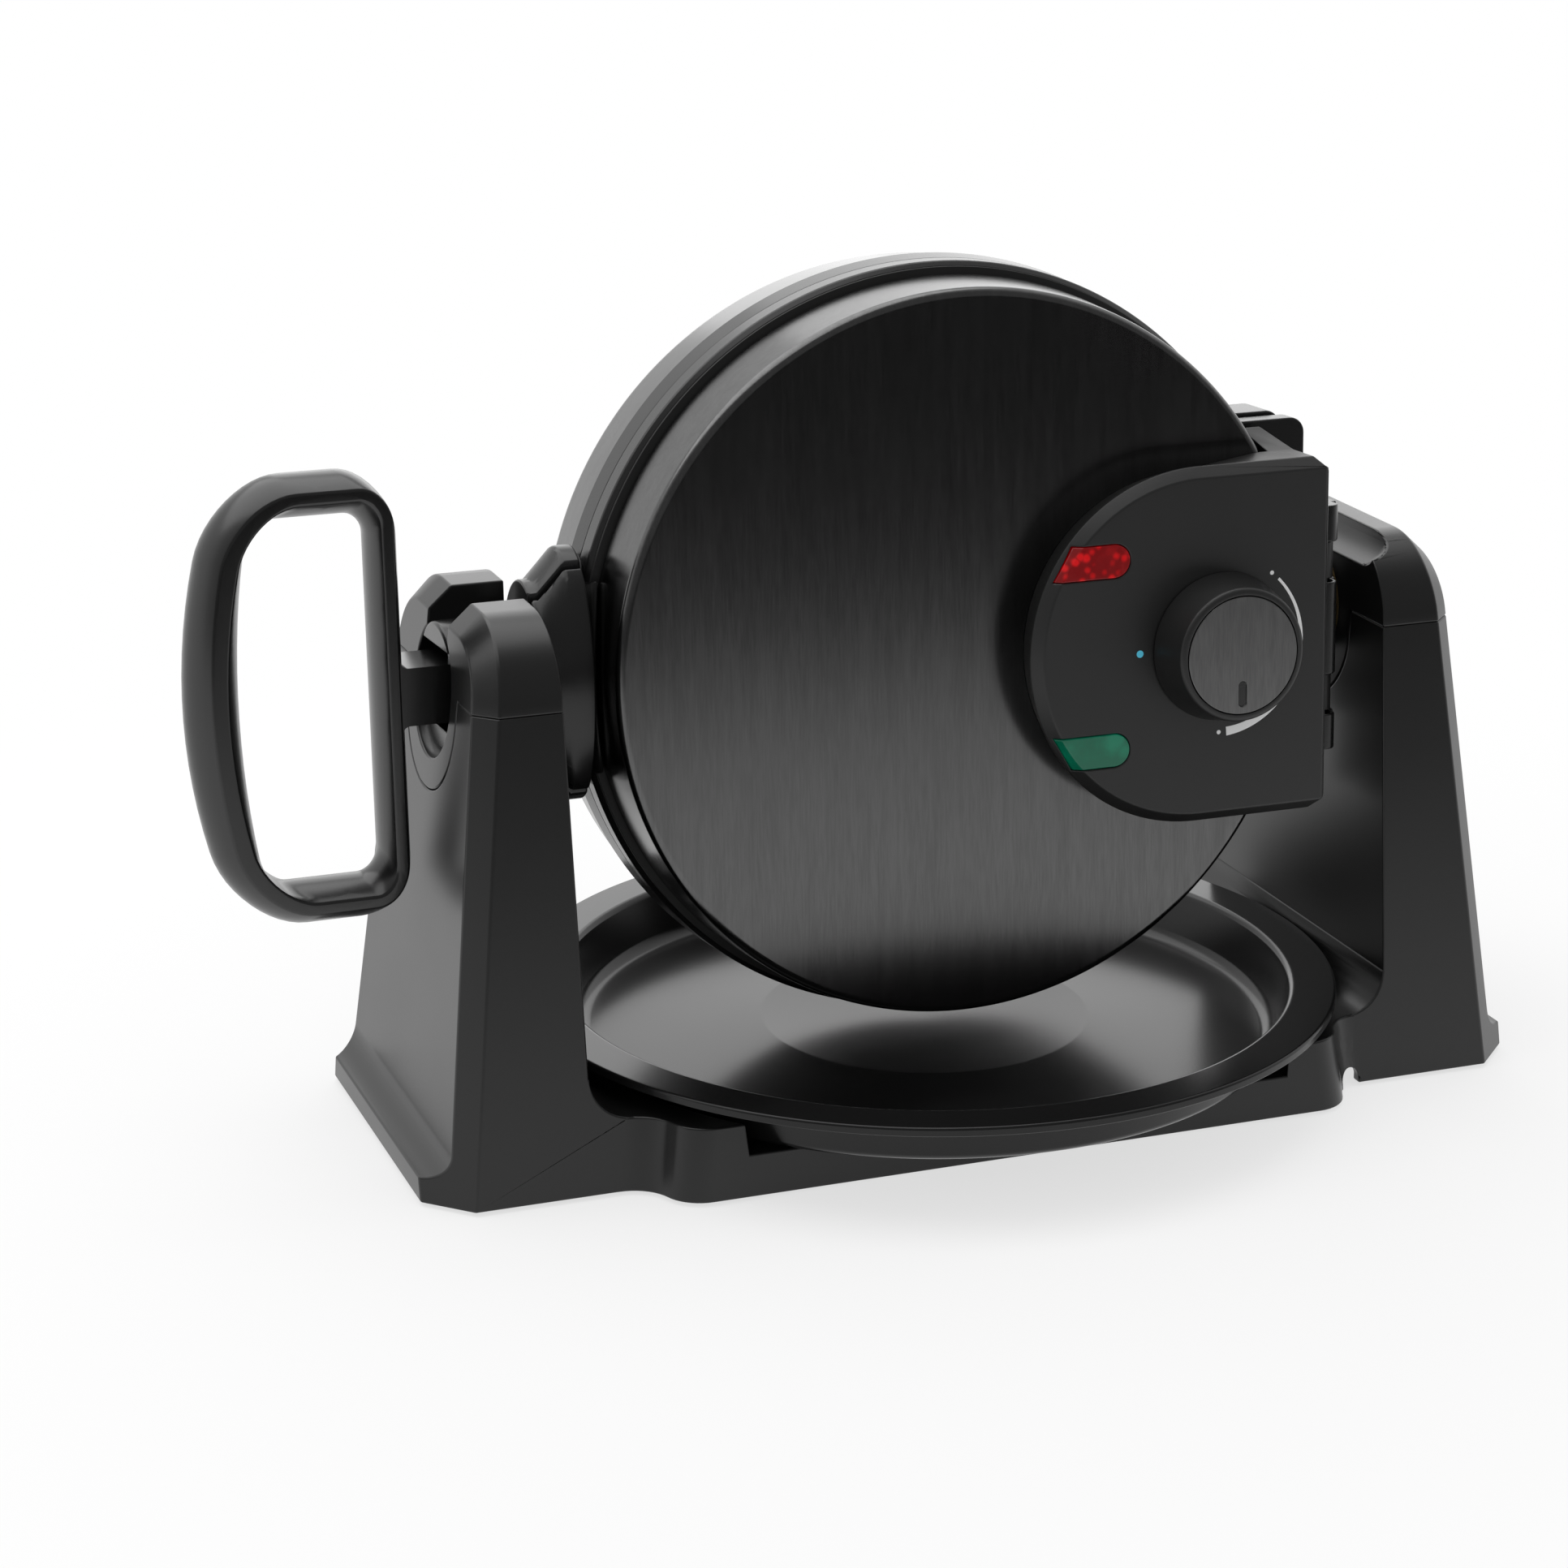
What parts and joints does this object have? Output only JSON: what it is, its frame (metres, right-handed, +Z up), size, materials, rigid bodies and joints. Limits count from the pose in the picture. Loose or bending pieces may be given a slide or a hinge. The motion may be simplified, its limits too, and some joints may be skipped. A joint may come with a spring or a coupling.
{
  "type": "rotary waffle maker",
  "caption": "Rotary waffle maker: a round two-half head that flips on a pillar stand, with a hinged lid, dial, loop handle and drip tray.",
  "frame": {"origin": "on the surface it stands on, below the middle of its outline in X and Y", "axes": "+X along the flip axis from the handle to the hinge end, +Y to the back, +Z up"},
  "size_m": [0.3854, 0.242, 0.2417],
  "materials": {
    "satin_black_plastic": "satin moulded black",
    "panel_plastic": "fine-textured black",
    "gloss_black_plastic": "smooth black",
    "black_steel": "brushed black metal",
    "coated_aluminium": "dark non-stick coating on cast aluminium",
    "tray_plastic": "satin black",
    "bright_steel": "plain turned steel",
    "heater_steel": "heat-dulled steel",
    "bronze": "sintered bearing metal",
    "black_rubber": "matt black rubber",
    "red_lens": "clear red lens",
    "green_lens": "clear green lens",
    "lamp_glass": "neon lamp glass",
    "thermostat_body": "pale heat-proof moulding"
  },
  "bodies": {
    "stand": {"stand": "satin_black_plastic", "left_bearing_cap": "satin_black_plastic", "right_bearing_cap": "satin_black_plastic", "axle_bush": "bronze", "deck_cover": "satin_black_plastic", "pillar_covers": "satin_black_plastic", "rubber_feet": "black_rubber", "deck_screws": "bright_steel", "cap_screws": "bright_steel"},
    "tray": {"drip_tray": "tray_plastic"},
    "lower_head": {"lower_cover": "black_steel", "lower_band": "gloss_black_plastic", "lower_bezel": "satin_black_plastic", "rim_seal": "black_rubber", "lower_grid_plate": "coated_aluminium", "lower_heater": "heater_steel", "lower_shield": "bright_steel", "lower_frame": "satin_black_plastic", "hinge_bracket": "satin_black_plastic", "bracket_screws": "bright_steel", "flip_axle": "bright_steel", "lower_hub": "satin_black_plastic", "journal": "satin_black_plastic", "handle": "gloss_black_plastic", "handle_pin": "bright_steel"},
    "hinge": {"hinge_pin": "bright_steel"},
    "lid": {"lid_cover": "black_steel", "lid_bezel": "satin_black_plastic", "lid_grid_plate": "coated_aluminium", "lid_heater": "heater_steel", "lid_shield": "bright_steel", "lid_hub": "satin_black_plastic", "lid_frame": "satin_black_plastic", "control_housing": "panel_plastic", "power_window": "red_lens", "ready_window": "green_lens", "power_lamp": "lamp_glass", "ready_lamp": "lamp_glass", "thermostat": "thermostat_body"},
    "dial": {"knob": "satin_black_plastic", "knob_cap": "black_steel", "knob_pointer": "gloss_black_plastic", "thermostat_spindle": "bright_steel"}
  },
  "joints": [
    {"name": "head_flip", "type": "hinge", "parent": "stand", "child": "lower_head", "pos_m": [0.0245, 0, 0.1327], "axis": [-1, 0, 0], "range_deg": [-93.2, 86.8]},
    {"name": "hinge_float", "type": "slide", "parent": "lower_head", "child": "hinge", "axis": [0, -0.9984, 0.0558], "range_m": [0, 0.0025]},
    {"name": "lid_open", "type": "hinge", "parent": "hinge", "child": "lid", "pos_m": [0.1329, -0.03405, 0.1346], "axis": [0, 0.0558, 0.9984], "range_deg": [0, 95]},
    {"name": "thermostat_dial", "type": "hinge", "parent": "lid", "child": "dial", "pos_m": [0.095, -0.04653, 0.1353], "axis": [0, -0.9984, 0.0558], "range_deg": [0, 143]},
    {"name": "tray_lift", "type": "slide", "parent": "stand", "child": "tray", "axis": [0, 0, 1], "range_m": [0, 0.004]}
  ]
}
